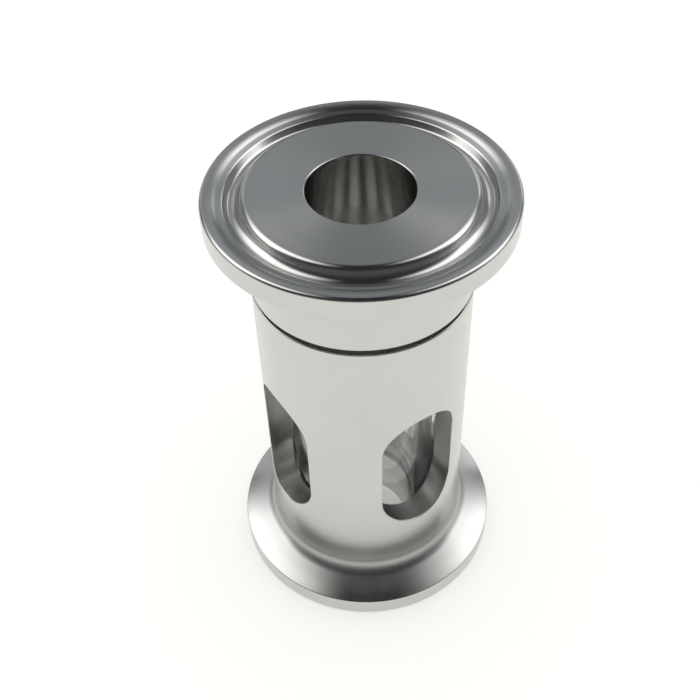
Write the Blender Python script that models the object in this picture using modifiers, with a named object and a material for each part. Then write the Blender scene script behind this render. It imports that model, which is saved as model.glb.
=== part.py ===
"""Sanitary in-line sight glass: a glass tube held between two 50.5 mm clamp ferrules.

The lower ferrule and the windowed housing are one turned and milled piece. The upper ferrule is a
cap that screws into the housing and clamps the glass tube between two seals. The frame is +Z up,
along the flow axis, and its origin is the centre of the lower ferrule's sealing face.
"""

import math

import bmesh
import bpy
from mathutils import Vector

MM = 0.001

# Whole fitting
FACE_TO_FACE = 85.0 * MM
BODY_RADIUS = 18.75 * MM
BORE_RADIUS = 8.75 * MM
TURN_STEPS = 48
SHARP_ANGLE = math.radians(30)

# Clamp ferrule, the same at both ends; drops are depths below its sealing face
FLANGE_RADIUS = 25.25 * MM
RIM_HEIGHT = 4.05 * MM
RIM_ROUND = 0.6 * MM
RIM_BREAK = 0.25 * MM
CLAMP_CONE = math.radians(20)
NECK_FILLET = 3.0 * MM
LAND_DROP = 0.15 * MM
LAND_INNER = 23.5 * MM
STEP_OUTER = 22.7 * MM
STEP_OUTER_DROP = 0.55 * MM
STEP_INNER = 21.65 * MM
STEP_INNER_DROP = 0.8 * MM
GROOVE_CENTRE = 20.5 * MM
GROOVE_RADIUS = 1.45 * MM
GROOVE_DROP = 1.8 * MM
FACE_OUTER = 18.05 * MM
FACE_LIP_WIDTH = 0.45 * MM
FACE_LIP_DROP = 0.2 * MM
BORE_CHAMFER = 0.35 * MM
ROUND_STEPS = 6

# Housing: cavity for the glass, and the sight windows
CAVITY_RADIUS = 14.4 * MM
SEAT_HEIGHT = 11.0 * MM
HOUSING_TOP = 66.9 * MM
WINDOW_WIDTH = 15.0 * MM
WINDOW_HEIGHT = 28.6 * MM
WINDOW_CENTRE = 33.7 * MM
WINDOW_CUT_REACH = 30.0 * MM
WINDOW_END_STEPS = 12
EDGE_BREAK = 0.3 * MM

# Screwed joint between housing and cap, M33 x 2, right-handed
THREAD_PITCH = 2.0 * MM
THREAD_FLANK = math.radians(30)
THREAD_PITCH_RADIUS = 15.85 * MM
THREAD_MALE_CREST = 16.5 * MM
THREAD_MALE_ROOT = 15.35 * MM
THREAD_MALE_EASE = 0.02 * MM
THREAD_FEMALE_CREST = 15.65 * MM
THREAD_FEMALE_ROOT = 16.75 * MM
THREAD_FEMALE_EASE = 0.12 * MM
THREAD_OVERCUT = 0.12 * MM
THREAD_LEAD_IN = 1.2 * MM
THREAD_START = 57.9 * MM
THREAD_TURNS = 5
RELIEF_RADIUS = 16.9 * MM
RELIEF_BOTTOM = 57.0 * MM
RELIEF_TOP = 59.0 * MM

# Cap below its ferrule
SHOULDER = 67.9 * MM
NECK_RADIUS = 15.1 * MM
NECK_BOTTOM = 66.3 * MM
SPIGOT_END = 57.7 * MM
COLLAR_SEAT_RADIUS = 11.3 * MM
COLLAR_SEAT_TOP = 60.6 * MM

# Seals, glass tube and slip washer, stacked up from the housing's seat with a gap between neighbours
STACK_GAP = 0.3 * MM
SEAL_THICKNESS = 2.0 * MM
SEAL_OUTER = 14.0 * MM
SEAL_INNER = 9.6 * MM
GLASS_OUTER = 14.0 * MM
GLASS_INNER = 10.0 * MM
GLASS_LENGTH = 40.0 * MM
GLASS_CHAMFER = 0.4 * MM
WASHER_THICKNESS = 1.2 * MM
WASHER_OUTER = 14.0 * MM
WASHER_INNER = 9.3 * MM
COLLAR_OUTER = 11.0 * MM
COLLAR_HEIGHT = 2.8 * MM


def clear_scene():
    for obj in list(bpy.data.objects):
        bpy.data.objects.remove(obj)


def new_collection(name):
    collection = bpy.data.collections.new(name)
    bpy.context.scene.collection.children.link(collection)
    return collection


def make_material(name, colour, roughness, metallic=0.0, transmission=0.0):
    material = bpy.data.materials.new(name)
    material.use_nodes = True
    shader = material.node_tree.nodes["Principled BSDF"]
    shader.inputs["Base Color"].default_value = (*colour, 1.0)
    shader.inputs["Roughness"].default_value = roughness
    shader.inputs["Metallic"].default_value = metallic
    shader.inputs["Transmission Weight"].default_value = transmission
    return material


def add_object(name, mesh, collection):
    obj = bpy.data.objects.new(name, mesh)
    collection.objects.link(obj)
    return obj


def add_outline(name, points, collection):
    """A closed outline of (r, z) points in the XZ plane, ready for a Screw modifier."""
    mesh = bpy.data.meshes.new(name)
    edges = [(i, (i + 1) % len(points)) for i in range(len(points))]
    mesh.from_pydata([(r, 0.0, z) for r, z in points], edges, [])
    return add_object(name, mesh, collection)


def add_screw(obj, turns=1, pitch=0.0):
    screw = obj.modifiers.new("turn", "SCREW")
    screw.axis = "Z"
    screw.angle = math.tau
    screw.iterations = turns
    screw.screw_offset = pitch
    screw.steps = screw.render_steps = TURN_STEPS
    screw.merge_threshold = 0.01 * MM
    screw.use_merge_vertices = pitch == 0.0


def add_turned(name, points, collection, material):
    """A ring turned about the Z axis; its outline's outer side runs downwards."""
    obj = add_outline(name, points, collection)
    obj.data.materials.append(material)
    add_screw(obj)
    return obj


def evaluated_mesh(obj):
    graph = bpy.context.evaluated_depsgraph_get()
    return bpy.data.meshes.new_from_object(obj.evaluated_get(graph))


def cut(obj, cutter):
    modifier = obj.modifiers.new("cut_" + cutter.name, "BOOLEAN")
    modifier.operation = "DIFFERENCE"
    modifier.solver = "EXACT"
    modifier.object = cutter
    cutter.hide_render = True
    cutter.display_type = "WIRE"


def arc(centre, radius, start, end, steps=ROUND_STEPS):
    """Points (r, z) on an arc from angle start to end, in degrees from straight outwards."""
    angles = [math.radians(start + (end - start) * i / steps) for i in range(steps + 1)]
    return [(centre[0] + radius * math.cos(a), centre[1] + radius * math.sin(a)) for a in angles]


def ferrule_face():
    """Sealing side of a ferrule that faces up, from its bore out to its rim, with the face at z = 0."""
    bore_edge = [(BORE_RADIUS, -BORE_CHAMFER), (BORE_RADIUS + BORE_CHAMFER, 0.0)]
    lip = [(FACE_OUTER, 0.0), (FACE_OUTER + FACE_LIP_WIDTH, -FACE_LIP_DROP)]
    groove = arc((GROOVE_CENTRE, GROOVE_RADIUS - GROOVE_DROP), GROOVE_RADIUS, 208, 286)
    step = [(STEP_INNER, -STEP_INNER_DROP), (STEP_OUTER, -STEP_OUTER_DROP), (LAND_INNER, -LAND_DROP)]
    rim = arc((FLANGE_RADIUS - RIM_ROUND, -LAND_DROP - RIM_ROUND), RIM_ROUND, 90, 0)
    return bore_edge + lip + groove + step + rim


def ferrule_back():
    """Underside of the same ferrule: rim edge, clamp cone and the fillet into the body."""
    rim_bottom = -LAND_DROP - RIM_HEIGHT
    slope = math.tan(CLAMP_CONE)
    edge = [
        (FLANGE_RADIUS, rim_bottom + RIM_BREAK),
        (FLANGE_RADIUS - RIM_BREAK, rim_bottom - RIM_BREAK * slope),
    ]
    centre_r = BODY_RADIUS + NECK_FILLET
    cone_z = rim_bottom - (FLANGE_RADIUS - centre_r) * slope
    centre_z = cone_z - NECK_FILLET / math.cos(CLAMP_CONE)
    return edge + arc((centre_r, centre_z), NECK_FILLET, 90 + math.degrees(CLAMP_CONE), 180)


def upside_down(points):
    """The same outline mirrored in z = 0 and reversed, so that its outer side still runs downwards."""
    return [(r, -z) for r, z in reversed(points)]


def lifted(points, height):
    return [(r, z + height) for r, z in points]


def ridge_half_width(radius):
    """Half the height along the axis of the nominal thread ridge at this radius."""
    return THREAD_PITCH / 4 - (radius - THREAD_PITCH_RADIUS) * math.tan(THREAD_FLANK)


def female_groove():
    """Section of the groove in the housing: the nominal ridge, eased, from the bore to its root."""
    mouth = THREAD_FEMALE_CREST - THREAD_OVERCUT
    wide = ridge_half_width(mouth) + THREAD_FEMALE_EASE
    narrow = ridge_half_width(THREAD_FEMALE_ROOT) + THREAD_FEMALE_EASE
    return [(mouth, wide), (THREAD_FEMALE_ROOT, narrow), (THREAD_FEMALE_ROOT, -narrow), (mouth, -wide)]


def male_groove():
    """Section of the groove in the cap's spigot: the space between two nominal ridges, eased."""
    mouth = THREAD_MALE_CREST + THREAD_OVERCUT
    wide = THREAD_PITCH / 2 - ridge_half_width(mouth) + THREAD_MALE_EASE
    narrow = THREAD_PITCH / 2 - ridge_half_width(THREAD_MALE_ROOT) + THREAD_MALE_EASE
    return [(mouth, wide), (mouth, -wide), (THREAD_MALE_ROOT, -narrow), (THREAD_MALE_ROOT, narrow)]


def add_thread_cutter(name, section, start, turns, collection):
    """The section swept up a right-handed helix from height start, with closed ends."""
    outline = add_outline(name + "_outline", lifted(section, start), collection)
    add_screw(outline, turns, THREAD_PITCH)
    mesh = evaluated_mesh(outline)
    bpy.data.objects.remove(outline)
    work = bmesh.new()
    work.from_mesh(mesh)
    bmesh.ops.holes_fill(work, edges=[edge for edge in work.edges if edge.is_boundary])
    bmesh.ops.recalc_face_normals(work, faces=work.faces)
    work.to_mesh(mesh)
    work.free()
    return add_object(name, mesh, collection)


def add_window_cutter(name, direction, collection):
    """An obround bar right through the housing along direction: it opens two facing windows."""
    radius = WINDOW_WIDTH / 2
    straight = WINDOW_HEIGHT / 2 - radius
    upper_end = arc((0.0, straight), radius, 0, 180, WINDOW_END_STEPS)
    lower_end = arc((0.0, -straight), radius, 180, 360, WINDOW_END_STEPS)
    up = Vector((0, 0, 1))
    across = up.cross(direction)
    start = up * WINDOW_CENTRE - direction * WINDOW_CUT_REACH
    work = bmesh.new()
    face = work.faces.new([work.verts.new(start + across * x + up * z) for x, z in upper_end + lower_end])
    made = bmesh.ops.extrude_face_region(work, geom=[face])["geom"]
    far_end = [item for item in made if isinstance(item, bmesh.types.BMVert)]
    bmesh.ops.translate(work, verts=far_end, vec=direction * WINDOW_CUT_REACH * 2)
    bmesh.ops.recalc_face_normals(work, faces=work.faces)
    mesh = bpy.data.meshes.new(name)
    work.to_mesh(mesh)
    work.free()
    return add_object(name, mesh, collection)


def build_housing(parts, cutters, material):
    """Windowed tube, open at its threaded top, with the lower ferrule at its foot."""
    top = [(BODY_RADIUS - EDGE_BREAK, HOUSING_TOP), (BODY_RADIUS, HOUSING_TOP - EDGE_BREAK)]
    lower_ferrule = upside_down(ferrule_face() + ferrule_back())
    cavity = [(BORE_RADIUS, SEAT_HEIGHT), (CAVITY_RADIUS, SEAT_HEIGHT), (CAVITY_RADIUS, RELIEF_BOTTOM)]
    relief_depth = RELIEF_RADIUS - THREAD_FEMALE_CREST
    relief = [
        (RELIEF_RADIUS, RELIEF_BOTTOM),
        (RELIEF_RADIUS, RELIEF_TOP),
        (THREAD_FEMALE_CREST, RELIEF_TOP + relief_depth / 2),
    ]
    mouth = [
        (THREAD_FEMALE_CREST, HOUSING_TOP - THREAD_LEAD_IN),
        (THREAD_FEMALE_CREST + THREAD_LEAD_IN, HOUSING_TOP),
    ]
    housing = add_turned("housing", top + lower_ferrule + cavity + relief + mouth, parts, material)
    for name, direction in (("windows_x", (1, 0, 0)), ("windows_y", (0, 1, 0))):
        cut(housing, add_window_cutter(name, Vector(direction), cutters))
    thread = add_thread_cutter("housing_thread", female_groove(), THREAD_START, THREAD_TURNS, cutters)
    cut(housing, thread)


def build_cap(parts, cutters, material):
    """Upper ferrule on a hub, with the threaded spigot that screws into the housing."""
    upper_ferrule = lifted(ferrule_face() + ferrule_back(), FACE_TO_FACE)
    shoulder = [(BODY_RADIUS, SHOULDER + EDGE_BREAK), (BODY_RADIUS - EDGE_BREAK, SHOULDER)]
    neck = [
        (NECK_RADIUS, SHOULDER),
        (NECK_RADIUS, NECK_BOTTOM),
        (THREAD_MALE_CREST, NECK_BOTTOM - (THREAD_MALE_CREST - NECK_RADIUS) / 2),
    ]
    spigot = [
        (THREAD_MALE_CREST, SPIGOT_END + THREAD_LEAD_IN),
        (THREAD_MALE_CREST - THREAD_LEAD_IN, SPIGOT_END),
        (COLLAR_SEAT_RADIUS, SPIGOT_END),
        (COLLAR_SEAT_RADIUS, COLLAR_SEAT_TOP),
        (BORE_RADIUS, COLLAR_SEAT_TOP),
    ]
    cap = add_turned("screw_cap_ferrule", upper_ferrule + shoulder + neck + spigot, parts, material)
    start = THREAD_START - 1.5 * THREAD_PITCH
    thread = add_thread_cutter("cap_thread", male_groove(), start, THREAD_TURNS + 1, cutters)
    cut(cap, thread)


def ring_outline(inner, outer, bottom, top, chamfer):
    return [
        (outer - chamfer, top),
        (outer, top - chamfer),
        (outer, bottom + chamfer),
        (outer - chamfer, bottom),
        (inner + chamfer, bottom),
        (inner, bottom + chamfer),
        (inner, top - chamfer),
        (inner + chamfer, top),
    ]


def seal_outline(bottom):
    top = bottom + SEAL_THICKNESS
    return [(SEAL_OUTER, top), (SEAL_OUTER, bottom), (SEAL_INNER, bottom), (SEAL_INNER, top)]


def washer_outline(bottom):
    """A flat washer with a collar that centres it in the cap's counterbore."""
    top = bottom + WASHER_THICKNESS
    collar_top = top + COLLAR_HEIGHT
    flat = [(COLLAR_OUTER, top), (WASHER_OUTER, top), (WASHER_OUTER, bottom)]
    return flat + [(WASHER_INNER, bottom), (WASHER_INNER, collar_top), (COLLAR_OUTER, collar_top)]


def build_stack(parts, glass, silicone, ptfe):
    """What the cap clamps, from the bottom up: lower seal, glass tube, upper seal, slip washer."""
    lower_seal = SEAT_HEIGHT + STACK_GAP
    tube = lower_seal + SEAL_THICKNESS + STACK_GAP
    tube_top = tube + GLASS_LENGTH
    upper_seal = tube_top + STACK_GAP
    washer = upper_seal + SEAL_THICKNESS + STACK_GAP
    tube_outline = ring_outline(GLASS_INNER, GLASS_OUTER, tube, tube_top, GLASS_CHAMFER)
    add_turned("lower_seal", seal_outline(lower_seal), parts, silicone)
    add_turned("glass_tube", tube_outline, parts, glass)
    add_turned("upper_seal", seal_outline(upper_seal), parts, silicone)
    add_turned("slip_washer", washer_outline(washer), parts, ptfe)


def apply_and_smooth(obj):
    """Applies the modifiers, then shades the piece smooth between its real edges."""
    mesh = evaluated_mesh(obj)
    obj.modifiers.clear()
    obj.data = mesh
    mesh.shade_smooth()
    mesh.set_sharp_from_angle(angle=SHARP_ANGLE)


def main():
    clear_scene()
    parts = new_collection("sight_glass")
    cutters = new_collection("cutters")
    steel = make_material("polished_stainless", (0.72, 0.72, 0.70), 0.22, metallic=1.0)
    glass = make_material("borosilicate_glass", (0.95, 0.97, 0.97), 0.02, transmission=1.0)
    silicone = make_material("silicone", (0.86, 0.86, 0.83), 0.5)
    ptfe = make_material("ptfe", (0.93, 0.93, 0.91), 0.4)
    build_housing(parts, cutters, steel)
    build_cap(parts, cutters, steel)
    build_stack(parts, glass, silicone, ptfe)
    for obj in parts.objects:
        apply_and_smooth(obj)


main()
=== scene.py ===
"""Looks of the sight glass: finely turned pieces, materials, studio and camera around its CAD frame.

Every CAD node is replaced by a piece of the same size with rounded edges, exact shading normals and
a machined, glassy or moulded finish. Lengths are in millimetres up to the point where a mesh is made.
"""

import math

import bmesh
import bpy
import numpy as np
from mathutils import Matrix, Vector


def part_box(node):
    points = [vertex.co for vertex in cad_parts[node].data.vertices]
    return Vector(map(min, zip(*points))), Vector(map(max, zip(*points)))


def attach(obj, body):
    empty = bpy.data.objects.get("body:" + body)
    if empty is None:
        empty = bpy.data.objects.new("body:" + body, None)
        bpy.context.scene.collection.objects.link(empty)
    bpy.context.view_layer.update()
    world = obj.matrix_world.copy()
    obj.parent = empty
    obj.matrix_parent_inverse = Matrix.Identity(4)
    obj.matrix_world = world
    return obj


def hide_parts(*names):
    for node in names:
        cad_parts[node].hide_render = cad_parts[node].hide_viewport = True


MM = 0.001

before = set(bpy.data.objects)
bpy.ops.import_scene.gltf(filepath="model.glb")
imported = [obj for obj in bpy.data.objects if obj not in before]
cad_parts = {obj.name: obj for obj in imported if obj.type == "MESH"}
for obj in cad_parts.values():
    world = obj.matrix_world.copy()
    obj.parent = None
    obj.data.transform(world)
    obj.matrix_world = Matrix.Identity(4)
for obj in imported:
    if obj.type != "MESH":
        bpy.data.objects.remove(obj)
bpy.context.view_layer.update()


def cad_extent(node):
    """(outer radius, lowest z, highest z) of a turned CAD node, in millimetres."""
    low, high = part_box(node)
    return high[0] / MM, low[2] / MM, high[2] / MM


FLANGE_RADIUS, FACE_LOW, HOUSING_TOP = cad_extent("housing")
_, SPIGOT_END, FACE_HIGH = cad_extent("screw_cap_ferrule")

# Body and ferrules; a depth is measured from the ferrule's sealing face, a round is a corner's radius
BODY_RADIUS = 18.75
BORE_RADIUS = 8.75
CONE_ANGLE = math.radians(20)
NECK_FILLET = 3.0
RIM_BOTTOM = 4.2
RIM_ROUND = 0.6
RIM_BREAK = 0.2
LAND_DEPTH = 0.14
BORE_ROUND = 0.25
FACE_OUTER = 18.6
FACE_ROUND = 1.05
GROOVE_INNER = 19.56
GROOVE_INNER_ROUND = 1.45
GROOVE_OUTER = 20.8
GROOVE_OUTER_ROUND = 0.7
GROOVE_DEPTH = 1.8
STEP_INNER = 21.65
STEP_INNER_DEPTH = 0.8
STEP_INNER_ROUND = 0.5
STEP_OUTER = 22.7
STEP_OUTER_DEPTH = 0.56
STEP_OUTER_ROUND = 2.5
LAND_INNER = 23.6
LAND_DIP = 0.04
LAND_ROUND = 4.0

# Housing
SEAT_HEIGHT = 11.0
CAVITY_RADIUS = 14.4
WINDOW_WIDTH = 15.0
WINDOW_HEIGHT = 28.6
WINDOW_CENTRE = 33.7
WINDOW_EDGE = 0.22
RELIEF_RADIUS = 16.9
RELIEF_BOTTOM = 57.0
RELIEF_TOP = 59.0

# Cap below its ferrule
SHOULDER = 67.9
NECK_RADIUS = 15.1
NECK_BOTTOM = 66.3
COLLAR_SEAT_RADIUS = 11.3
COLLAR_SEAT_TOP = 60.6

# Screwed joint
THREAD_PITCH = 2.0
THREAD_FLANK = math.radians(30)
THREAD_PITCH_RADIUS = 15.85
THREAD_MALE_CREST = 16.5
THREAD_MALE_ROOT = 15.35
THREAD_FEMALE_CREST = 15.65
THREAD_FEMALE_ROOT = 16.75
THREAD_FEMALE_EASE = 0.12
THREAD_MALE_EASE = 0.02
THREAD_OVERCUT = 0.12
THREAD_LEAD_IN = 1.2
THREAD_START = 57.9
THREAD_TURNS = 5

# Rounding of the other turned corners
JOINT_ROUND = 0.25
EDGE_ROUND = 0.2
INNER_ROUND = 0.15
THREAD_ROUND = 0.1

# Glass, seals and slip washer
GLASS_INNER = 10.0
GLASS_ROUND = 0.5
SEAL_INNER = 9.6
SEAL_ROUND = 0.35
WASHER_INNER = 9.3
WASHER_THICKNESS = 1.2
COLLAR_OUTER = 11.0
COLLAR_ROUND = 0.3

# Fineness of the meshes
TURN_STEPS = 192
THREAD_STEPS = 96
ARC_STEP = math.radians(9)
WINDOW_END_STEPS = 24
WINDOW_SIDE_STEPS = 12
WINDOW_EDGE_STEPS = 5
MERGE_DISTANCE = 0.0005 * MM
SHARP_ANGLE = math.radians(35)

# A face takes the outline's exact normals if it lies this close to it and faces the same way
ON_OUTLINE_DISTANCE = 0.01 * MM
ON_OUTLINE_COSINE = 0.97


# ---------------------------------------------------------------- turned shapes

def rotated(vector, angle):
    c, s = math.cos(angle), math.sin(angle)
    return Vector((c * vector.x - s * vector.y, s * vector.x + c * vector.y))


def outline_of(corners):
    """The closed outline through (r, z, rounding) corners, its outer side running down.

    Each entry is (point, normal arriving, normal leaving); the two normals differ at a sharp corner.
    """
    outline = []
    for i, (r, z, rounding) in enumerate(corners):
        corner = Vector((r, z))
        arriving = (corner - Vector(corners[i - 1][:2])).normalized()
        leaving = (Vector(corners[(i + 1) % len(corners)][:2]) - corner).normalized()
        normal_in = Vector((-arriving.y, arriving.x))
        normal_out = Vector((-leaving.y, leaving.x))
        if not rounding:
            outline.append((corner, normal_in, normal_out))
            continue
        turn = math.atan2(arriving.cross(leaving), arriving.dot(leaving))
        start = corner - arriving * rounding * math.tan(abs(turn) / 2)
        centre = start + normal_in * math.copysign(rounding, turn)
        steps = max(2, math.ceil(abs(turn) / ARC_STEP))
        for k in range(steps + 1):
            angle = turn * k / steps
            normal = rotated(normal_in, angle)
            outline.append((centre + rotated(start - centre, angle), normal, normal))
    return outline


def turned_mesh(name, outline):
    """The outline turned about Z, as a closed mesh in metres."""
    verts = []
    for j in range(TURN_STEPS):
        angle = math.tau * j / TURN_STEPS
        verts += [(p.x * math.cos(angle) * MM, p.x * math.sin(angle) * MM, p.y * MM) for p, _, _ in outline]
    count = len(outline)
    faces = []
    for j in range(TURN_STEPS):
        here, there = j * count, (j + 1) % TURN_STEPS * count
        for i in range(count):
            k = (i + 1) % count
            faces.append((here + i, here + k, there + k, there + i))
    mesh = bpy.data.meshes.new(name)
    mesh.from_pydata(verts, [], faces)
    return mesh


def read_all(items, attribute, size, kind=float):
    """One attribute of every item, as an array with a row for each item."""
    values = np.empty(len(items) * size, dtype=kind)
    items.foreach_get(attribute, values)
    return values.reshape(-1, size)


def shade_exactly(mesh, outline):
    """Smooth shading, with exact normals on every face that lies on the turned outline."""
    mesh.shade_smooth()
    mesh.set_sharp_from_angle(angle=SHARP_ANGLE)
    points = np.array([p for p, _, _ in outline]) * MM
    leaving = np.array([n for _, _, n in outline])
    arriving = np.roll(np.array([n for _, n, _ in outline]), -1, axis=0)
    run = np.roll(points, -1, axis=0) - points
    run_squared = (run ** 2).sum(1)

    # What the mesh holds now
    verts = read_all(mesh.vertices, "co", 3)
    centres = read_all(mesh.polygons, "center", 3)
    face_normals = read_all(mesh.polygons, "normal", 3)
    sizes = read_all(mesh.polygons, "loop_total", 1, int)[:, 0]
    loop_verts = read_all(mesh.loops, "vertex_index", 1, int)[:, 0]
    normals = np.array([n.vector for n in mesh.corner_normals])

    # The stretch of the outline that each face is nearest to, and whether the face lies on it
    radius = np.hypot(centres[:, 0], centres[:, 1])
    flat = np.stack([radius, centres[:, 2]], 1)
    along = ((flat[:, None] - points) * run).sum(2) / run_squared
    nearest = points + np.clip(along, 0, 1)[..., None] * run
    distance = np.linalg.norm(flat[:, None] - nearest, axis=2)
    segment = distance.argmin(1)
    outward = np.stack([(face_normals[:, :2] * centres[:, :2]).sum(1) / radius, face_normals[:, 2]], 1)
    middle = leaving[segment] + arriving[segment]
    middle /= np.linalg.norm(middle, axis=1)[:, None]
    close = distance.min(1) < ON_OUTLINE_DISTANCE
    on_outline = close & ((outward * middle).sum(1) > ON_OUTLINE_COSINE)

    # Normals at those faces' corners, blended along their stretch and turned about the axis
    face_of_loop = np.repeat(np.arange(len(sizes)), sizes)
    chosen = on_outline[face_of_loop]
    seg = segment[face_of_loop][chosen]
    xyz = verts[loop_verts[chosen]]
    r = np.hypot(xyz[:, 0], xyz[:, 1])
    share = ((np.stack([r, xyz[:, 2]], 1) - points[seg]) * run[seg]).sum(1) / run_squared[seg]
    share = np.clip(share, 0, 1)[:, None]
    rz = leaving[seg] * (1 - share) + arriving[seg] * share
    rz /= np.linalg.norm(rz, axis=1)[:, None]
    normals[chosen] = np.stack([rz[:, 0] * xyz[:, 0] / r, rz[:, 0] * xyz[:, 1] / r, rz[:, 1]], 1)
    mesh.normals_split_custom_set(normals.tolist())


def add_object(name, mesh, material):
    obj = bpy.data.objects.new(name, mesh)
    bpy.context.scene.collection.objects.link(obj)
    mesh.materials.append(material)
    return obj


def merge_close_points(mesh):
    """Collapses the specks that a Boolean leaves where its cut passes close by a corner."""
    work = bmesh.new()
    work.from_mesh(mesh)
    bmesh.ops.remove_doubles(work, verts=work.verts, dist=MERGE_DISTANCE)
    work.to_mesh(mesh)
    work.free()


def cut_away(obj, cutters):
    """Applies one exact Boolean difference per cutter; a cut face takes its cutter's material."""
    for cutter in cutters:
        modifier = obj.modifiers.new("cut", "BOOLEAN")
        modifier.operation = "DIFFERENCE"
        modifier.solver = "EXACT"
        modifier.material_mode = "TRANSFER"
        modifier.object = cutter
    graph = bpy.context.evaluated_depsgraph_get()
    mesh = bpy.data.meshes.new_from_object(obj.evaluated_get(graph))
    obj.modifiers.clear()
    obj.data = mesh
    merge_close_points(mesh)
    for cutter in cutters:
        bpy.data.objects.remove(cutter)


def add_turned(name, corners, material, cutters=()):
    """A turned piece with rounded corners, less its cutters."""
    outline = outline_of(corners)
    obj = add_object(name, turned_mesh(name, outline), material)
    if cutters:
        cut_away(obj, cutters)
    shade_exactly(obj.data, outline)
    return obj


# ---------------------------------------------------------------- cutters

def lofted_cutter(name, rings, material):
    """A closed solid through rings of equally many points, the end rings filled."""
    size = len(rings[0])
    verts = [tuple(Vector(p) * MM) for ring in rings for p in ring]
    faces = [tuple(range(size)), tuple(range(len(verts) - 1, len(verts) - size - 1, -1))]
    for k in range(len(rings) - 1):
        for i in range(size):
            j = (i + 1) % size
            here, there = k * size, (k + 1) * size
            faces.append((here + j, here + i, there + i, there + j))
    mesh = bpy.data.meshes.new(name)
    mesh.from_pydata(verts, [], faces)
    work = bmesh.new()
    work.from_mesh(mesh)
    bmesh.ops.recalc_face_normals(work, faces=work.faces)
    work.to_mesh(mesh)
    work.free()
    return add_object(name, mesh, material)


def ridge_half_width(radius):
    """Half the height along the axis of the nominal thread ridge at this radius."""
    return THREAD_PITCH / 4 - (radius - THREAD_PITCH_RADIUS) * math.tan(THREAD_FLANK)


def thread_cutter(name, section, start, turns, material):
    """The (r, z) section swept up a right-handed helix from height start, in so many turns."""
    rings = []
    for k in range(turns * THREAD_STEPS + 1):
        angle = math.tau * k / THREAD_STEPS
        lift = start + THREAD_PITCH * k / THREAD_STEPS
        rings.append([(r * math.cos(angle), r * math.sin(angle), z + lift) for r, z in section])
    return lofted_cutter(name, rings, material)


def female_thread(material):
    """The groove in the housing: the nominal ridge, eased, from the bore to its root."""
    mouth = THREAD_FEMALE_CREST - THREAD_OVERCUT
    wide = ridge_half_width(mouth) + THREAD_FEMALE_EASE
    narrow = ridge_half_width(THREAD_FEMALE_ROOT) + THREAD_FEMALE_EASE
    section = [(mouth, wide), (THREAD_FEMALE_ROOT, narrow), (THREAD_FEMALE_ROOT, -narrow), (mouth, -wide)]
    return thread_cutter("female_thread", section, THREAD_START, THREAD_TURNS, material)


def male_thread(material):
    """The groove in the cap's spigot: the space between two nominal ridges, eased.

    It starts a turn and a half below the housing's, so that it runs out through the spigot's end.
    """
    mouth = THREAD_MALE_CREST + THREAD_OVERCUT
    wide = THREAD_PITCH / 2 - ridge_half_width(mouth) + THREAD_MALE_EASE
    narrow = THREAD_PITCH / 2 - ridge_half_width(THREAD_MALE_ROOT) + THREAD_MALE_EASE
    section = [(mouth, wide), (mouth, -wide), (THREAD_MALE_ROOT, -narrow), (THREAD_MALE_ROOT, narrow)]
    start = THREAD_START - 1.5 * THREAD_PITCH
    return thread_cutter("male_thread", section, start, THREAD_TURNS + 1, material)


def window_outline():
    """The obround window's edge as ((u, v), outward (nu, nv)) about its centre."""
    radius = WINDOW_WIDTH / 2
    straight = WINDOW_HEIGHT / 2 - radius
    edge = []
    for side in (1, -1):
        for k in range(WINDOW_END_STEPS + 1):
            angle = math.pi * k / WINDOW_END_STEPS + (0 if side > 0 else math.pi)
            normal = Vector((math.cos(angle), math.sin(angle)))
            edge.append((normal * radius + Vector((0, side * straight)), normal))
        for k in range(1, WINDOW_SIDE_STEPS):
            v = side * straight * (1 - 2 * k / WINDOW_SIDE_STEPS)
            edge.append((Vector((-side * radius, v)), Vector((-side, 0))))
    return edge


def window_ring(depth, spread, reach=None):
    """One loft ring of a window: depth below the body's surface, spread outside the window's edge.

    With a reach, the ring is flat and stands that far from the axis instead.
    """
    ring = []
    for point, normal in window_outline():
        u, v = point + normal * spread
        x = reach if reach else math.sqrt(BODY_RADIUS ** 2 - u ** 2) - depth
        ring.append((x, u, v + WINDOW_CENTRE))
    return ring


def window_cutter(name, turn, material):
    """A bar right through the body that opens two facing windows with softly rounded outer edges."""
    half = [window_ring(WINDOW_EDGE * 2, 0)]
    for k in range(WINDOW_EDGE_STEPS + 1):
        angle = math.radians(90) * k / WINDOW_EDGE_STEPS
        half.append(window_ring(WINDOW_EDGE * (1 - math.sin(angle)), WINDOW_EDGE * (1 - math.cos(angle))))
    half.append(window_ring(0, WINDOW_EDGE, FLANGE_RADIUS))
    other = [[(-x, u, v) for x, u, v in ring] for ring in reversed(half)]
    bar = lofted_cutter(name, other + half, material)
    bar.data.transform(Matrix.Rotation(turn, 4, "Z"))
    return bar


# ---------------------------------------------------------------- the pieces

def ferrule_corners(face):
    """Corners of a ferrule that faces up, from its bore to its neck; face is its sealing face's height."""
    cone_depth = RIM_BOTTOM + (FLANGE_RADIUS - BODY_RADIUS) * math.tan(CONE_ANGLE)
    corners = [
        (BORE_RADIUS, 0, BORE_ROUND),
        (FACE_OUTER, 0, FACE_ROUND),
        (GROOVE_INNER, GROOVE_DEPTH, GROOVE_INNER_ROUND),
        (GROOVE_OUTER, GROOVE_DEPTH, GROOVE_OUTER_ROUND),
        (STEP_INNER, STEP_INNER_DEPTH, STEP_INNER_ROUND),
        (STEP_OUTER, STEP_OUTER_DEPTH, STEP_OUTER_ROUND),
        (LAND_INNER, LAND_DEPTH + LAND_DIP, LAND_ROUND),
        (FLANGE_RADIUS, LAND_DEPTH, RIM_ROUND),
        (FLANGE_RADIUS, RIM_BOTTOM, RIM_BREAK),
        (BODY_RADIUS, cone_depth, NECK_FILLET),
    ]
    return [(r, face - depth, rounding) for r, depth, rounding in corners]


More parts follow.
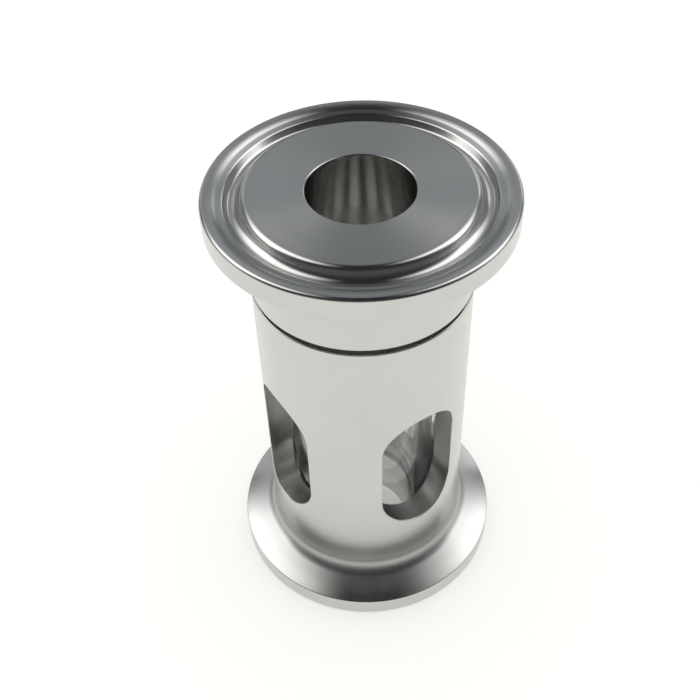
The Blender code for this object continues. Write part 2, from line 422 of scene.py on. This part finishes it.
def upside_down(corners):
    """The same corners mirrored in z = 0 and reversed, so that their outer side still runs down."""
    return [(r, -z, rounding) for r, z, rounding in reversed(corners)]


def build_housing(steel, milled):
    """Windowed tube, open at its threaded top, with the lower ferrule at its foot."""
    corners = [(BODY_RADIUS, HOUSING_TOP, JOINT_ROUND)]
    corners += upside_down(ferrule_corners(-FACE_LOW))
    corners += [
        (BORE_RADIUS, SEAT_HEIGHT, INNER_ROUND),
        (CAVITY_RADIUS, SEAT_HEIGHT, EDGE_ROUND),
        (CAVITY_RADIUS, RELIEF_BOTTOM, THREAD_ROUND),
        (RELIEF_RADIUS, RELIEF_BOTTOM, EDGE_ROUND),
        (RELIEF_RADIUS, RELIEF_TOP, EDGE_ROUND),
        (THREAD_FEMALE_CREST, RELIEF_TOP + (RELIEF_RADIUS - THREAD_FEMALE_CREST) / 2, 0),
        (THREAD_FEMALE_CREST, HOUSING_TOP - THREAD_LEAD_IN, 0),
        (THREAD_FEMALE_CREST + THREAD_LEAD_IN, HOUSING_TOP, THREAD_ROUND),
    ]
    cutters = [
        window_cutter("windows_x", 0, milled),
        window_cutter("windows_y", math.radians(90), milled),
        female_thread(steel),
    ]
    return add_turned("windowed_housing", corners, steel, cutters)


def build_cap(steel):
    """Upper ferrule on its hub, with the threaded spigot that screws into the housing."""
    corners = ferrule_corners(FACE_HIGH) + [
        (BODY_RADIUS, SHOULDER, JOINT_ROUND),
        (NECK_RADIUS, SHOULDER, EDGE_ROUND),
        (NECK_RADIUS, NECK_BOTTOM, THREAD_ROUND),
        (THREAD_MALE_CREST, NECK_BOTTOM - (THREAD_MALE_CREST - NECK_RADIUS) / 2, 0),
        (THREAD_MALE_CREST, SPIGOT_END + THREAD_LEAD_IN, 0),
        (THREAD_MALE_CREST - THREAD_LEAD_IN, SPIGOT_END, THREAD_ROUND),
        (COLLAR_SEAT_RADIUS, SPIGOT_END, INNER_ROUND),
        (COLLAR_SEAT_RADIUS, COLLAR_SEAT_TOP, THREAD_ROUND),
        (BORE_RADIUS, COLLAR_SEAT_TOP, INNER_ROUND),
    ]
    return add_turned("screwed_cap", corners, steel, [male_thread(steel)])


def ring_corners(node, inner, rounding):
    """Corners of a plain ring with its CAD node's outer radius and height."""
    outer, low, high = cad_extent(node)
    return [(r, z, rounding) for r, z in ((outer, high), (outer, low), (inner, low), (inner, high))]


def build_washer(ptfe):
    """Flat washer with a collar that centres it in the cap."""
    outer, low, high = cad_extent("slip_washer")
    flat = low + WASHER_THICKNESS
    corners = [
        (outer, flat, EDGE_ROUND),
        (outer, low, EDGE_ROUND),
        (WASHER_INNER, low, INNER_ROUND),
        (WASHER_INNER, high, INNER_ROUND),
        (COLLAR_OUTER, high, COLLAR_ROUND),
        (COLLAR_OUTER, flat, INNER_ROUND),
    ]
    return add_turned("ptfe_slip_washer", corners, ptfe)


# ---------------------------------------------------------------- materials

class Nodes:
    """A small helper that adds nodes to one node tree and links them."""

    def __init__(self, tree):
        self.tree = tree

    def add(self, kind, inputs=(), **settings):
        node = self.tree.nodes.new(kind)
        for key, value in settings.items():
            setattr(node, key, value)
        for key, value in dict(inputs).items():
            if isinstance(value, bpy.types.NodeSocket):
                self.tree.links.new(value, node.inputs[key])
            else:
                node.inputs[key].default_value = value
        return node

    def mix(self, factor, first, second):
        """The first colour where factor is 0, the second where it is 1."""
        inputs = {"Factor": factor, "A": (*first, 1), "B": (*second, 1)}
        return self.add("ShaderNodeMix", inputs, data_type="RGBA").outputs["Result"]

    def bump(self, height, strength, distance):
        inputs = {"Height": height, "Strength": strength, "Distance": distance}
        return self.add("ShaderNodeBump", inputs).outputs["Normal"]

    def math(self, operation, a, b=0.0):
        return self.add("ShaderNodeMath", {0: a, 1: b}, operation=operation).outputs[0]

    def vector_math(self, operation, a, b):
        return self.add("ShaderNodeVectorMath", {0: a, 1: b}, operation=operation).outputs["Vector"]

    def dot(self, a, b):
        return self.add("ShaderNodeVectorMath", {0: a, 1: b}, operation="DOT_PRODUCT").outputs["Value"]

    def noise(self, vector, scale, detail, roughness):
        inputs = {"Vector": vector, "Scale": scale, "Detail": detail, "Roughness": roughness}
        return self.add("ShaderNodeTexNoise", inputs).outputs["Fac"]

    def ramp(self, value, stops):
        """Grey level by value, from (position, level) stops."""
        ramp = self.add("ShaderNodeValToRGB", {0: value})
        elements = ramp.color_ramp.elements
        for position, _ in stops[2:]:
            elements.new(position)
        for element, (position, level) in zip(elements, stops):
            element.position = position
            element.color = (level, level, level, 1)
        return ramp.outputs["Color"]

    def fade(self, value, edge):
        """0 at the first value of edge, 1 at the second, smooth between them."""
        inputs = {"Value": value, "From Min": edge[0], "From Max": edge[1]}
        node = self.add("ShaderNodeMapRange", inputs, interpolation_type="SMOOTHSTEP")
        return node.outputs["Result"]

    def spread(self, value, low, high, from_low=0.3, from_high=0.7):
        """Low to high as value runs over its span, which for a noise is about 0.3 to 0.7."""
        inputs = {"Value": value, "From Min": from_low, "From Max": from_high, "To Min": low, "To Max": high}
        return self.add("ShaderNodeMapRange", inputs).outputs["Result"]


def new_material(name):
    material = bpy.data.materials.new(name)
    material.use_nodes = True
    return material, Nodes(material.node_tree)


def finish_material(material, inputs):
    """Feeds the material's Principled shader with plain values and linked sockets."""
    tree = material.node_tree
    shader = tree.nodes["Principled BSDF"]
    for name, value in inputs.items():
        if isinstance(value, bpy.types.NodeSocket):
            tree.links.new(value, shader.inputs[name])
        else:
            shader.inputs[name].default_value = value
    return material


def turned_coordinates(nodes):
    """Object position as (radius, 0, height), so that a texture on it runs round the axis."""
    where = nodes.add("ShaderNodeTexCoord").outputs["Object"]
    split = nodes.add("ShaderNodeSeparateXYZ", {0: where})
    x2 = nodes.math("MULTIPLY", split.outputs["X"], split.outputs["X"])
    y2 = nodes.math("MULTIPLY", split.outputs["Y"], split.outputs["Y"])
    radius = nodes.math("SQRT", nodes.math("ADD", x2, y2))
    rings = nodes.add("ShaderNodeCombineXYZ", {0: radius, 2: split.outputs["Z"]}).outputs[0]
    return where, rings


# A texture is (scale, detail, roughness), a bump is (strength, distance), a roughness its (low, high)

# Turned steel: colours of its darker and lighter patches, fine rings, wider bands and a faint haze
TURNED_COLOURS = ((0.565, 0.56, 0.54), (0.60, 0.595, 0.58))
TURNED_RINGS = (9000.0, 3.0, 0.7)
TURNED_BANDS = (900.0, 2.0, 0.5)
TURNED_HAZE = (60.0, 3.0, 0.5)
TURNED_ROUGHNESS = (0.14, 0.165)
TURNED_BAND_ROUGHNESS = (-0.01, 0.01)
TURNED_BUMP = (0.25, 0.00001)

# It is duller in the cavity and on the threads; radii and heights in metres
DULL_RADII = ((0.0090, 0.0092), (0.0174, 0.0172))
DULL_HEIGHTS = ((0.0108, 0.0110), (0.0684, 0.0682))
DULL_ROUGHNESS = 0.25
DULL_METALLIC_LOSS = 0.4

# It is also a little rougher in the fillet between the lower clamp cone and the body
FILLET_HEIGHTS = ((0.0045, 0.0058), (0.0125, 0.0090))
FILLET_ROUGHNESS = 0.1

# Milled steel
MILLED_COLOUR = (0.56, 0.555, 0.535)
MILLED_MARKS = (1500.0, 3.0, 0.6)
MILLED_HAZE = (300.0, 2.0, 0.5)
MILLED_ROUGHNESS = (0.28, 0.36)
MILLED_BUMP = (0.05, 0.00002)

# Glass
GLASS_COLOUR = (0.985, 0.995, 0.99)
GLASS_IOR = 1.473
GLASS_RINGS = (400.0, 2.0, 0.5)
GLASS_WAVES = (120.0, 1.0, 0.5)
GLASS_ROUGHNESS = (0.01, 0.03)
GLASS_BUMP = (0.02, 0.0002)

# Silicone and PTFE, each with a fine grain; the scatter radius is in metres
SILICONE_COLOUR = (0.93, 0.925, 0.9)
SILICONE_GRAIN = (900.0, 3.0, 0.5)
SILICONE_ROUGHNESS = (0.40, 0.50)
SILICONE_SUBSURFACE = 0.3
PTFE_COLOUR = (0.93, 0.93, 0.91)
PTFE_GRAIN = (1400.0, 3.0, 0.5)
PTFE_ROUGHNESS = (0.30, 0.40)
PTFE_SUBSURFACE = 0.15
GRAIN_SHADE = 0.94
GRAIN_BUMP = (0.3, 0.00002)
SCATTER_RADIUS = (0.002, 0.002, 0.002)
SCATTER_SCALE = 0.5


def turned_steel():
    """Polished stainless with fine turning rings: reflections spread across the rings, not along them."""
    material, nodes = new_material("turned_steel")
    where, rings = turned_coordinates(nodes)
    fine = nodes.noise(rings, *TURNED_RINGS)
    bands = nodes.spread(nodes.noise(rings, *TURNED_BANDS), *TURNED_BAND_ROUGHNESS)
    haze = nodes.noise(where, *TURNED_HAZE)
    rough = nodes.math("ADD", nodes.spread(haze, *TURNED_ROUGHNESS), bands)
    ring = nodes.add("ShaderNodeSeparateXYZ", {0: rings})
    radius, height = ring.outputs["X"], ring.outputs["Z"]
    dull = nodes.fade(radius, DULL_RADII[0])
    for value, edge in ((radius, DULL_RADII[1]), (height, DULL_HEIGHTS[0]), (height, DULL_HEIGHTS[1])):
        dull = nodes.math("MULTIPLY", dull, nodes.fade(value, edge))
    rough = nodes.math("ADD", rough, nodes.math("MULTIPLY", dull, DULL_ROUGHNESS))
    above, below = (nodes.fade(height, edge) for edge in FILLET_HEIGHTS)
    fillet = nodes.math("MULTIPLY", above, below)
    rough = nodes.math("ADD", rough, nodes.math("MULTIPLY", fillet, FILLET_ROUGHNESS))
    inputs = {
        "Base Color": nodes.mix(nodes.spread(haze, 0, 1), *TURNED_COLOURS),
        "Roughness": rough,
        "Metallic": nodes.math("SUBTRACT", 1.0, nodes.math("MULTIPLY", dull, DULL_METALLIC_LOSS)),
        "Normal": nodes.bump(fine, *TURNED_BUMP),
        "Tangent": nodes.add("ShaderNodeTangent", direction_type="RADIAL", axis="Z").outputs[0],
        "Anisotropic": 1.0,
        "Anisotropic Rotation": 0.25,
    }
    return finish_material(material, inputs)


def milled_steel():
    """Window walls: the same steel, milled and lightly polished."""
    material, nodes = new_material("milled_steel")
    where = nodes.add("ShaderNodeTexCoord").outputs["Object"]
    marks = nodes.noise(where, *MILLED_MARKS)
    haze = nodes.noise(where, *MILLED_HAZE)
    inputs = {
        "Base Color": (*MILLED_COLOUR, 1),
        "Metallic": 1.0,
        "Roughness": nodes.spread(haze, *MILLED_ROUGHNESS),
        "Normal": nodes.bump(marks, *MILLED_BUMP),
    }
    return finish_material(material, inputs)


def borosilicate_glass():
    """Clear drawn tube: faint rings, and waves too shallow to see except in a reflection."""
    material, nodes = new_material("borosilicate_glass")
    where, rings = turned_coordinates(nodes)
    faint_rings = nodes.noise(rings, *GLASS_RINGS)
    waves = nodes.noise(where, *GLASS_WAVES)
    inputs = {
        "Base Color": (*GLASS_COLOUR, 1),
        "Transmission Weight": 1.0,
        "IOR": GLASS_IOR,
        "Roughness": nodes.spread(faint_rings, *GLASS_ROUGHNESS),
        "Normal": nodes.bump(waves, *GLASS_BUMP),
    }
    return finish_material(material, inputs)


def soft_white(name, colour, grain, roughness, subsurface):
    """Silicone or PTFE: white, a little translucent, with a fine grain."""
    material, nodes = new_material(name)
    where = nodes.add("ShaderNodeTexCoord").outputs["Object"]
    speck = nodes.noise(where, *grain)
    shade = [channel * GRAIN_SHADE for channel in colour]
    inputs = {
        "Base Color": nodes.mix(nodes.spread(speck, 0, 1), shade, colour),
        "Roughness": nodes.spread(speck, *roughness),
        "Normal": nodes.bump(speck, *GRAIN_BUMP),
        "Subsurface Weight": subsurface,
        "Subsurface Radius": SCATTER_RADIUS,
        "Subsurface Scale": SCATTER_SCALE,
    }
    return finish_material(material, inputs)


# ---------------------------------------------------------------- studio

# Camera: it stands at this azimuth, counted from -Y towards +X, and faces a point on the Z axis, but
# for a slight yaw and pitch in radians and a roll; its clip distance is in metres
CAMERA_AZIMUTH = -32.6
CAMERA_ELEVATION = 45.76
CAMERA_DISTANCE = 184.33
CAMERA_LENS = 52.9
CAMERA_AIM_HEIGHT = 50.4
CAMERA_YAW = 0.0135
CAMERA_PITCH = -0.0059
CAMERA_ROLL = math.radians(1.12)
CAMERA_CLIP = 0.01

# Room: (sine of the elevation, brightness) ahead of the camera and behind it, seen in reflections only
AHEAD_STOPS = [
    (0, 0.3), (0.2, 0.2), (0.42, 0.2), (0.54, 0.42),
    (0.67, 0.26), (0.8, 0.11), (0.9, 0.045), (1, 0.02),
]
BEHIND_STOPS = [(0, 0.16), (0.2, 0.12), (0.45, 0.045), (1, 0.015)]
ROOM_BLEND = (-0.45, 0.35)
ROOM_TINT = (0.94, 1.0, 1.06)

# Two ceiling softboxes, left (-1) and right (1) of the camera's line of sight. Each edge is where its
# light starts and where it is full, in units of the ceiling's height
SOFTBOX_STRENGTH = 1.75
SOFTBOX_INNER = (0.1, 0.42)
SOFTBOX_OUTER = (3.0, 1.5)
SOFTBOX_FAR = (1.35, 0.55)
SOFTBOX_NEAR = {-1: (-0.3, 0.1), 1: (-0.2, 0.25)}
LOWEST_CEILING_RAY = 0.02

# Back lamps as (azimuth, elevation, strength); the edge is in cosines of the angle from a lamp's middle
BACK_LAMPS = ((28, 21, 0.9), (-28, 21, 0.4))
BACK_LAMP_EDGE = (0.975, 0.995)

# Floor, a hair below the lower sealing face; lengths in metres
FLOOR_REACH = 3.0
FLOOR_HEIGHT = -0.0002
FLOOR_COLOUR = (0.63, 0.625, 0.61)
FLOOR_GLOW_COLOUR = (1, 0.985, 0.95)
FLOOR_GLOW = 0.45
FLOOR_ROUGHNESS = 0.9


def direction(azimuth, elevation):
    """Unit vector for an azimuth from the camera's heading, positive to its right, and an elevation."""
    a = math.radians(azimuth - CAMERA_AZIMUTH)
    e = math.radians(elevation)
    return Vector((math.sin(a) * math.cos(e), math.cos(a) * math.cos(e), math.sin(e)))


def build_world():
    """White to the eye and to diffuse light; polished metal mirrors a darker room with its lamps."""
    world = bpy.data.worlds.new("studio")
    bpy.context.scene.world = world
    world.use_nodes = True
    nodes = Nodes(world.node_tree)
    heading = nodes.add("ShaderNodeTexCoord").outputs["Generated"]
    height = nodes.add("ShaderNodeSeparateXYZ", {0: heading}).outputs["Z"]
    ahead = nodes.dot(heading, direction(0, 0))
    room_inputs = {
        "Factor": nodes.spread(ahead, 0, 1, *ROOM_BLEND),
        "A": nodes.ramp(height, BEHIND_STOPS),
        "B": nodes.ramp(height, AHEAD_STOPS),
    }
    room = nodes.add("ShaderNodeMix", room_inputs, data_type="FLOAT").outputs["Result"]
    total = nodes.vector_math("MULTIPLY", room, ROOM_TINT)
    across = nodes.dot(heading, direction(90, 0))
    ceiling = nodes.math("MAXIMUM", height, LOWEST_CEILING_RAY)
    forth = nodes.math("DIVIDE", ahead, ceiling)
    for side, near in SOFTBOX_NEAR.items():
        sideways = nodes.math("DIVIDE", nodes.math("MULTIPLY", across, side), ceiling)
        glow = nodes.fade(sideways, SOFTBOX_INNER)
        for value, edge in ((sideways, SOFTBOX_OUTER), (forth, SOFTBOX_FAR), (forth, near)):
            glow = nodes.math("MULTIPLY", glow, nodes.fade(value, edge))
        total = nodes.vector_math("ADD", total, nodes.math("MULTIPLY", glow, SOFTBOX_STRENGTH))
    for azimuth, elevation, strength in BACK_LAMPS:
        glow = nodes.fade(nodes.dot(heading, direction(azimuth, elevation)), BACK_LAMP_EDGE)
        total = nodes.vector_math("ADD", total, nodes.math("MULTIPLY", glow, strength))
    is_glossy = nodes.add("ShaderNodeLightPath").outputs["Is Glossy Ray"]
    light_inputs = {"Factor": is_glossy, "A": (1, 1, 1, 1), "B": total}
    light = nodes.add("ShaderNodeMix", light_inputs, data_type="RGBA").outputs["Result"]
    nodes.tree.links.new(light, nodes.tree.nodes["Background"].inputs["Color"])


def build_floor():
    mesh = bpy.data.meshes.new("floor")
    x, y, z = FLOOR_REACH, FLOOR_REACH, FLOOR_HEIGHT
    mesh.from_pydata([(-x, -y, z), (x, -y, z), (x, y, z), (-x, y, z)], [], [(0, 1, 2, 3)])
    material, _ = new_material("pale_floor")
    inputs = {
        "Base Color": (*FLOOR_COLOUR, 1),
        "Emission Color": (*FLOOR_GLOW_COLOUR, 1),
        "Emission Strength": FLOOR_GLOW,
        "Roughness": FLOOR_ROUGHNESS,
        "Specular IOR Level": 0.0,
    }
    floor = add_object("floor", mesh, finish_material(material, inputs))


def build_camera():
    scene = bpy.context.scene
    data = bpy.data.cameras.new("camera")
    data.lens = CAMERA_LENS
    data.clip_start = CAMERA_CLIP
    camera = bpy.data.objects.new("camera", data)
    scene.collection.objects.link(camera)
    scene.camera = camera
    aim = Vector((0, 0, CAMERA_AIM_HEIGHT * MM))
    back = -direction(0, -CAMERA_ELEVATION)
    forward = -back
    right = forward.cross(Vector((0, 0, 1))).normalized()
    up = right.cross(forward)
    turn = Matrix.Rotation(CAMERA_YAW, 3, up)
    forward, right = turn @ forward, turn @ right
    turn = Matrix.Rotation(CAMERA_PITCH, 3, right)
    forward, up = turn @ forward, turn @ up
    turn = Matrix.Rotation(CAMERA_ROLL, 3, forward)
    right, up = turn @ right, turn @ up
    basis = Matrix((right, up, -forward)).transposed().to_4x4()
    camera.matrix_world = Matrix.Translation(aim + back * CAMERA_DISTANCE * MM) @ basis
    scene.view_settings.view_transform = "Standard"


def place(piece, body, node):
    """Hands a piece to the frame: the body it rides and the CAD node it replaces."""
    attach(piece, body)
    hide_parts(node)


def main():
    steel = turned_steel()
    milled = milled_steel()
    glass = borosilicate_glass()
    silicone = soft_white(
        "silicone", SILICONE_COLOUR, SILICONE_GRAIN, SILICONE_ROUGHNESS, SILICONE_SUBSURFACE)
    ptfe = soft_white("ptfe", PTFE_COLOUR, PTFE_GRAIN, PTFE_ROUGHNESS, PTFE_SUBSURFACE)
    place(build_housing(steel, milled), "housing", "housing")
    place(build_cap(steel), "screw_cap", "screw_cap_ferrule")
    tube_corners = ring_corners("glass_tube", GLASS_INNER, GLASS_ROUND)
    tube = add_turned("glass_cylinder", tube_corners, glass)
    place(tube, "housing", "glass_tube")
    for node in ("lower_seal", "upper_seal"):
        seal = add_turned(node + "_ring", ring_corners(node, SEAL_INNER, SEAL_ROUND), silicone)
        place(seal, "housing", node)
    place(build_washer(ptfe), "slip_washer", "slip_washer")
    build_world()
    build_floor()
    build_camera()


main()
